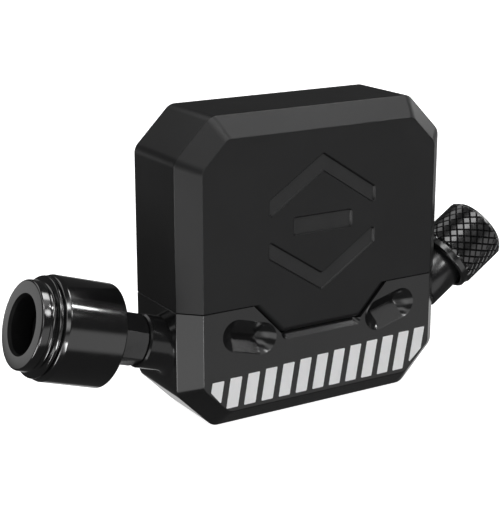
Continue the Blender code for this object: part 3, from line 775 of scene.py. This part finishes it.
def carry_rim(bm, rim, radius, height):
    """Extrudes an open rim to a circle of the given radius and height, or to its centre."""
    result = bmesh.ops.extrude_edge_only(bm, edges=rim)["geom"]
    fresh = [g for g in result if isinstance(g, bmesh.types.BMVert)]
    for vert in fresh:
        flat = Vector((vert.co.x, vert.co.y)).normalized() * radius
        vert.co = (flat.x, flat.y, height)
    if radius == 0.0:
        bmesh.ops.remove_doubles(bm, verts=fresh, dist=0.01)
        return []
    kept = set(fresh)
    edges = [g for g in result if isinstance(g, bmesh.types.BMEdge)]
    return [edge for edge in edges if all(vert in kept for vert in edge.verts)]


# ---------------------------------------------------------------- battery hatch

HATCH_RADIUS = 10.33
HATCH_RING = 9.2                # radius of the seat of the hatch's O-ring
COIN_RADIUS = 10.5
COIN_HALF = 0.9                 # half of the coin slot's width
COIN_Y = 15.6                   # centre of the coin that shapes the slot


def make_hatch():
    """Screwed hatch with an O-ring seat, a coin slot and a turned line round its face."""
    profile = [(0.0, 6.3), (HATCH_RADIUS, 6.3), (HATCH_RADIUS, 5.45), (HATCH_RING, 5.45),
               (HATCH_RING, 4.05), (HATCH_RADIUS, 4.05), (HATCH_RADIUS, 3.4), (8.6, 3.4),
               (8.6, 2.9), (0.0, 2.9)]
    hatch = lathe("hatch_cover", rounded(profile, [0.3, 0.1, 0.05, 0.05, 0.1, 0.1, 0.1, 0.1], 5),
                  HATCH, 160)
    height = HATCH.translation.z / MM
    coin = [(0.0, COIN_HALF), (COIN_RADIUS, COIN_HALF), (COIN_RADIUS, -COIN_HALF),
            (0.0, -COIN_HALF)]
    cut(hatch, lathe("coin_slot", rounded(coin, 0.25, 4),
                     axis_matrix((0.0, COIN_Y, height), (0.0, 0.0, 1.0)), 160))
    groove = axis_matrix((0.0, 0.0, height), (0.0, 1.0, 0.0))
    cut(hatch, lathe("hatch_ring_groove", rounded([(8.9, 7.0), (8.9, 6.1), (8.3, 6.1), (8.3, 7.0)],
                                                  0.15, 3), groove, 160))
    return finish_shape(hatch, 24.0, FLAT_AREA)


# ---------------------------------------------------------------- materials

def new_material(name):
    material = bpy.data.materials.new(name)
    material.use_nodes = True
    return material, material.node_tree, material.node_tree.nodes["Principled BSDF"]


def noise(tree, size, detail=2.0, stretch=(1.0, 1.0, 1.0), seed=0.0):
    """Noise whose features are about the given size in mm, in the object's own frame."""
    place = tree.nodes.new("ShaderNodeTexCoord")
    mapping = tree.nodes.new("ShaderNodeMapping")
    mapping.inputs["Scale"].default_value = stretch
    mapping.inputs["Location"].default_value = (seed, seed * 0.7, seed * 0.3)
    texture = tree.nodes.new("ShaderNodeTexNoise")
    texture.inputs["Scale"].default_value = 1.0 / (size * MM)
    texture.inputs["Detail"].default_value = detail
    texture.inputs["Roughness"].default_value = 0.55
    tree.links.new(place.outputs["Object"], mapping.inputs["Vector"])
    tree.links.new(mapping.outputs["Vector"], texture.inputs["Vector"])
    return texture.outputs["Fac"]


def spread(tree, factor, low, high):
    scale = tree.nodes.new("ShaderNodeMapRange")
    scale.inputs["From Min"].default_value = 0.35
    scale.inputs["From Max"].default_value = 0.65
    scale.inputs["To Min"].default_value = low
    scale.inputs["To Max"].default_value = high
    tree.links.new(factor, scale.inputs["Value"])
    return scale.outputs["Result"]


def blend_colours(tree, factor, first, second):
    ramp = tree.nodes.new("ShaderNodeValToRGB")
    ramp.color_ramp.elements[0].position = 0.35
    ramp.color_ramp.elements[0].color = (*first, 1.0)
    ramp.color_ramp.elements[1].position = 0.65
    ramp.color_ramp.elements[1].color = (*second, 1.0)
    tree.links.new(factor, ramp.inputs["Fac"])
    return ramp.outputs["Color"]


def relief(tree, shader, layers):
    """Bump made of noise layers, each (factor, depth in mm)."""
    previous = None
    for factor, depth in layers:
        bump = tree.nodes.new("ShaderNodeBump")
        bump.inputs["Strength"].default_value = 1.0
        bump.inputs["Distance"].default_value = depth * MM
        tree.links.new(factor, bump.inputs["Height"])
        if previous:
            tree.links.new(previous, bump.inputs["Normal"])
        previous = bump.outputs["Normal"]
    tree.links.new(previous, shader.inputs["Normal"])


def finish(name, colour, vary=0.12, roughness=0.4, rough_vary=0.05, metallic=0.0, specular=0.5,
           ior=1.5, grain=0.2, depth=0.004, patch=3.0, turned_lines=0.0, coat=0.0):
    """Procedural surface: mottled colour, uneven roughness and a fine grain."""
    material, tree, shader = new_material(name)
    cloud = noise(tree, patch, 3.0)
    darker = tuple(c * (1 - vary) for c in colour)
    lighter = tuple(c * (1 + vary) for c in colour)
    tree.links.new(blend_colours(tree, cloud, darker, lighter), shader.inputs["Base Color"])
    smear = noise(tree, patch * 0.4, 3.0, seed=4.0)
    tree.links.new(spread(tree, smear, roughness - rough_vary, roughness + rough_vary),
                   shader.inputs["Roughness"])
    layers = [(noise(tree, grain, 2.0, seed=1.0), depth)]
    if turned_lines:
        layers.append((noise(tree, 0.09, 1.0, (0.015, 0.015, 1.0), 2.0), turned_lines))
    relief(tree, shader, layers)
    shader.inputs["Metallic"].default_value = metallic
    shader.inputs["Specular IOR Level"].default_value = specular
    shader.inputs["IOR"].default_value = ior
    shader.inputs["Coat Weight"].default_value = coat
    shader.inputs["Coat Roughness"].default_value = 0.08
    return material


def make_materials():
    return {
        "cover": finish("cover_plastic", (0.0108, 0.0108, 0.0112), roughness=0.38,
                        rough_vary=0.01, specular=0.42, grain=0.16, depth=0.005, patch=8.0),
        "mark": finish("cover_mark_floor", (0.0190, 0.0190, 0.0195), roughness=0.34,
                       specular=0.5, grain=0.12, depth=0.003, patch=8.0),
        "body": finish("body_anodised", (0.0115, 0.0115, 0.0118), roughness=0.14, rough_vary=0.01,
                       specular=0.72, grain=0.06, depth=0.0007, patch=8.0),
        "collar": finish("collar_gloss", (0.0040, 0.0040, 0.0042), roughness=0.12, rough_vary=0.02,
                         specular=0.75, ior=1.8, grain=0.25, depth=0.0005,
                         turned_lines=0.0005),
        "bore": finish("collar_bore", (0.0040, 0.0040, 0.0042), roughness=0.55, specular=0.15,
                       grain=0.12, depth=0.003),
        "stem": finish("stem_satin", (0.0120, 0.0120, 0.0125), roughness=0.22, specular=0.75,
                       ior=1.6, grain=0.12, depth=0.001, turned_lines=0.001),
        "cap": finish("cap_gloss", (0.0050, 0.0050, 0.0053), roughness=0.2, rough_vary=0.04,
                      specular=0.75, ior=1.8, grain=0.15, depth=0.001),
        "ink": finish("print_ink", (0.92, 0.92, 0.925), vary=0.02, roughness=0.55, specular=0.3,
                      grain=0.1, depth=0.002),
        "hatch": finish("hatch_plastic", (0.0150, 0.0150, 0.0155), roughness=0.42, specular=0.42,
                        grain=0.2, depth=0.005, patch=4.0),
        "rubber": finish("seal_rubber", (0.013, 0.013, 0.013), roughness=0.7, specular=0.3,
                         grain=0.12, depth=0.004),
        "steel": finish("stainless_steel", (0.52, 0.52, 0.53), vary=0.06, roughness=0.28,
                        metallic=1.0, grain=0.15, depth=0.002, turned_lines=0.001),
        "cell": finish("cell_steel", (0.60, 0.60, 0.59), vary=0.05, roughness=0.22, metallic=1.0,
                       grain=0.2, depth=0.002),
        "brass": finish("turned_brass", (0.60, 0.42, 0.17), vary=0.08, roughness=0.26,
                        metallic=1.0, grain=0.15, depth=0.001, turned_lines=0.001),
        "board": finish("solder_mask", (0.015, 0.10, 0.04), vary=0.2, roughness=0.35, coat=0.3,
                        grain=0.4, depth=0.006, patch=1.5),
        "chip": finish("chip_resin", (0.02, 0.02, 0.02), vary=0.1, roughness=0.55, grain=0.08,
                       depth=0.003),
        "flex": finish("flex_film", (0.45, 0.20, 0.03), vary=0.1, roughness=0.35, coat=0.4,
                       grain=0.3, depth=0.003),
        "inner": finish("inner_plastic", (0.025, 0.025, 0.027), roughness=0.5, grain=0.2,
                        depth=0.005),
    }


# CAD nodes that keep their own shape, by the words that start their names
KEPT_FINISHES = (
    ("cover_gasket", "rubber"), ("cover_screw", "steel"), ("board_screw", "steel"),
    ("clamp_screw", "steel"), ("circuit_board", "board"), ("radio_module", "steel"),
    ("microcontroller", "chip"), ("motion_sensor", "chip"), ("battery_cradle", "inner"),
    ("contact_", "steel"), ("coin_cell", "cell"), ("pressure_sensor", "steel"),
    ("sensor_oring", "rubber"), ("sensor_clamp", "steel"), ("sensor_flex", "flex"),
    ("coupling_oring", "rubber"), ("coupling_washer", "brass"), ("coupling_clip", "steel"),
    ("coupling_seal", "rubber"), ("depressor_pin", "brass"), ("valve_stem_oring", "rubber"),
    ("valve_core_body", "brass"), ("valve_core_pin", "brass"), ("valve_core_seal", "rubber"),
    ("valve_core_spring", "steel"), ("valve_cap_gasket", "rubber"),
    ("battery_cap_oring", "rubber"))


def dress_kept_nodes(materials):
    for name, node in frame["nodes"].items():
        for start, finish_name in KEPT_FINISHES:
            if name.startswith(start):
                node.data.materials.clear()
                node.data.materials.append(materials[finish_name])


def place_piece(piece, material, slot, body, *nodes):
    piece.data.materials.clear()
    piece.data.materials.append(material)
    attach(piece, body)
    if nodes:
        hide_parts(*nodes)


# ---------------------------------------------------------------- stage

CAMERA_PLACE = Vector((-97.44, -148.54, 70.78))
CAMERA_LOOK = Vector((0.5004, 0.8207, -0.2759))
CAMERA_LENS = 100.28            # for a sensor 36 mm wide
FLOOR_HALF = 3.0                # metres
FLOOR_Z = -0.00002              # metres, just under the housing's bottom face
FLOOR_GLOW = 0.97               # lifts the floor to the photo's plain white


def make_camera():
    data = bpy.data.cameras.new("camera")
    data.lens = CAMERA_LENS
    data.sensor_width = 36.0
    data.clip_start = 0.01
    data.clip_end = 20.0
    camera = bpy.data.objects.new("camera", data)
    camera.location = CAMERA_PLACE * MM
    camera.rotation_euler = CAMERA_LOOK.to_track_quat("-Z", "Y").to_euler()
    ROOT.objects.link(camera)
    bpy.context.scene.camera = camera


def make_floor():
    """White floor that is see-through from below, so that the underside can be looked at."""
    bm = bmesh.new()
    bmesh.ops.create_grid(bm, x_segments=1, y_segments=1, size=FLOOR_HALF)
    mesh = bpy.data.meshes.new("floor")
    bm.to_mesh(mesh)
    bm.free()
    floor = bpy.data.objects.new("floor", mesh)
    ROOT.objects.link(floor)
    material, tree, shader = new_material("floor_white")
    shader.inputs["Base Color"].default_value = (0.8, 0.8, 0.8, 1.0)
    shader.inputs["Roughness"].default_value = 1.0
    shader.inputs["Specular IOR Level"].default_value = 0.0
    shader.inputs["Emission Color"].default_value = (1.0, 1.0, 1.0, 1.0)
    shader.inputs["Emission Strength"].default_value = FLOOR_GLOW
    output = tree.nodes["Material Output"]
    see_through = tree.nodes.new("ShaderNodeBsdfTransparent")
    side = tree.nodes.new("ShaderNodeNewGeometry")
    mix = tree.nodes.new("ShaderNodeMixShader")
    tree.links.new(side.outputs["Backfacing"], mix.inputs[0])
    tree.links.new(shader.outputs[0], mix.inputs[1])
    tree.links.new(see_through.outputs[0], mix.inputs[2])
    tree.links.new(mix.outputs[0], output.inputs["Surface"])
    mesh.materials.append(material)
    floor.location.z = FLOOR_Z
    floor.visible_glossy = False
    floor.visible_diffuse = False
    floor.visible_shadow = False


def level_side(direction):
    """Horizontal unit vector square to a direction, and the third one square to both."""
    across = direction.cross(Vector((0.0, 0.0, 1.0))).normalized()
    return across, across.cross(direction).normalized()


class Sky:
    """World shader built from soft rectangular patches of light at infinity."""

    def __init__(self, base):
        world = bpy.data.worlds.new("studio")
        world.use_nodes = True
        bpy.context.scene.world = world
        self.tree = world.node_tree
        self.tree.nodes.clear()
        self.direction = self.tree.nodes.new("ShaderNodeTexCoord").outputs["Generated"]
        self.total = base

    def node(self, kind, operation, *values):
        made = self.tree.nodes.new(kind)
        made.operation = operation
        for socket, value in zip(made.inputs, values):
            if isinstance(value, bpy.types.NodeSocket):
                self.tree.links.new(value, socket)
            else:
                socket.default_value = value
        return made

    def maths(self, operation, *values):
        return self.node("ShaderNodeMath", operation, *values).outputs["Value"]

    def dot(self, vector):
        made = self.node("ShaderNodeVectorMath", "DOT_PRODUCT", self.direction, vector)
        return made.outputs["Value"]

    def edge(self, value, half, soft):
        """One inside the half size, falling smoothly to zero over the soft border."""
        step = self.tree.nodes.new("ShaderNodeMapRange")
        step.interpolation_type = "SMOOTHSTEP"
        step.inputs["From Min"].default_value = half + soft
        step.inputs["From Max"].default_value = max(half - soft, 0.0)
        self.tree.links.new(self.maths("ABSOLUTE", value), step.inputs["Value"])
        return step.outputs["Result"]

    def patch(self, toward, size, strength, soft=0.1, along=None):
        """Rectangle of light: direction, half sizes in degrees across and up, radiance."""
        toward = Vector(toward).normalized()
        across, up = level_side(toward)
        if along is not None:
            across = (Vector(along) - toward * toward.dot(Vector(along))).normalized()
            up = across.cross(toward)
        ahead = self.dot(toward)
        safe = self.maths("MAXIMUM", ahead, 0.001)
        mask = self.maths("GREATER_THAN", ahead, 0.01)
        for axis, degrees in ((across, size[0]), (up, size[1])):
            place = self.maths("DIVIDE", self.dot(axis), safe)
            inside = self.edge(place, math.tan(math.radians(degrees)), soft)
            mask = self.maths("MULTIPLY", mask, inside)
        glow = self.maths("MULTIPLY", mask, strength)
        self.total = self.maths("ADD", self.total, glow)

    def finish(self):
        nodes = self.tree.nodes
        light = nodes.new("ShaderNodeBackground")
        self.tree.links.new(self.total, light.inputs["Strength"])
        seen = nodes.new("ShaderNodeBackground")
        mix = nodes.new("ShaderNodeMixShader")
        path = nodes.new("ShaderNodeLightPath")
        output = nodes.new("ShaderNodeOutputWorld")
        self.tree.links.new(path.outputs["Is Camera Ray"], mix.inputs[0])
        self.tree.links.new(light.outputs[0], mix.inputs[1])
        self.tree.links.new(seen.outputs[0], mix.inputs[2])
        self.tree.links.new(mix.outputs[0], output.inputs["Surface"])
        light.inputs["Color"].default_value = (1.0, 1.0, 1.0, 1.0)
        seen.inputs["Color"].default_value = (1.0, 1.0, 1.0, 1.0)


# Light round the object: direction, half sizes in degrees across and up, radiance, soft
# border and, for a strip that isn't level, the direction it runs in.  The comments say
# what reflects each one from the photo's angle, or from the angle they name.
ROOM_LIGHT = 0.06
LIGHTS = (
    ((0.650, -0.35, 0.674), (4.2, 1.7), 24.0, 0.02, COUPLING.to_3x3().col[2]),  # collar's line
    ((0.32, -0.35, 0.88), (22.0, 12.0), 0.75, 0.12),        # top bevel
    ((0.03, -0.43, 0.90), (6.0, 6.0), 7.0, 0.05),           # edges of the top left corner
    ((0.48, -0.62, 0.62), (6.0, 6.0), 6.0, 0.05),           # edge below the top bevel
    ((0.52, 0.06, 0.85), (9.0, 9.0), 5.0, 0.06),            # edge above the top bevel
    ((-0.25, -0.27, 0.93), (13.0, 8.0), 2.6, 0.04, (0.0, 1.0, 0.0)),    # knurl, filler stem
    ((0.89, 0.35, 0.28), (8.0, 8.0), 4.0, 0.06),            # small edges on the right
    ((-0.46, -0.53, 0.69), (14.0, 12.0), 1.0, 0.12),        # top left corner
    ((-0.25, -0.85, 0.46), (14.0, 9.0), 1.5, 0.12),         # left edges of the front
    ((0.05, -0.97, -0.20), (50.0, 20.0), 0.46, 0.10),       # front faces
    ((-0.22, -0.92, -0.28), (3.5, 9.0), 11.0, 0.04),        # upright edge of the front
    ((-0.82, -0.50, -0.28), (20.0, 16.0), 1.2, 0.10),       # left bevel
    ((-0.95, -0.08, -0.28), (9.0, 10.0), 6.0, 0.06),        # edges round the left side
    ((-0.49, 0.87, -0.03), (15.0, 6.0), 0.55, 0.06),        # front ring of the collar
    ((0.72, 0.68, -0.20), (24.0, 10.0), 0.45, 0.08),        # back, from behind
    ((-0.30, 0.60, 0.74), (26.0, 14.0), 0.9, 0.12),         # top, from behind
    ((0.45, 0.72, -0.52), (14.0, 12.0), 0.6, 0.10),         # underside, from below
)


def make_lights():
    sky = Sky(ROOM_LIGHT)
    for light in LIGHTS:
        sky.patch(*light)
    sky.finish()


# ---------------------------------------------------------------- build

def build():
    materials = make_materials()
    cover = make_cover()
    place_piece(cover, materials["cover"], "black_plastic", "housing", "housing_cover")
    cover.data.materials.append(materials["mark"])
    for face in cover.data.polygons:
        face.material_index = int(is_mark_floor(cover.data, face))
    place_piece(make_lower_body(), materials["body"], "black_anodised", "housing", "lower_body")
    place_piece(make_print(), materials["ink"], "black_anodised", "housing")
    collar = make_collar()
    place_piece(collar, materials["collar"], "gloss_anodised", "collar", "coupling_collar")
    collar.data.materials.append(materials["bore"])
    for face in collar.data.polygons:
        face.material_index = int(is_collar_bore(collar.data, face))
    place_piece(make_coupling_stem(), materials["stem"], "gloss_anodised", "housing",
                "coupling_stem")
    place_piece(make_valve_stem(), materials["stem"], "grey_anodised", "housing", "valve_stem")
    place_piece(make_valve_cap(), materials["cap"], "gloss_anodised", "valve_cap", "valve_cap")
    place_piece(make_hatch(), materials["hatch"], "black_plastic", "hatch", "battery_cap")
    dress_kept_nodes(materials)
    make_camera()
    make_floor()
    make_lights()
    bpy.context.scene.view_settings.view_transform = "Standard"


build()
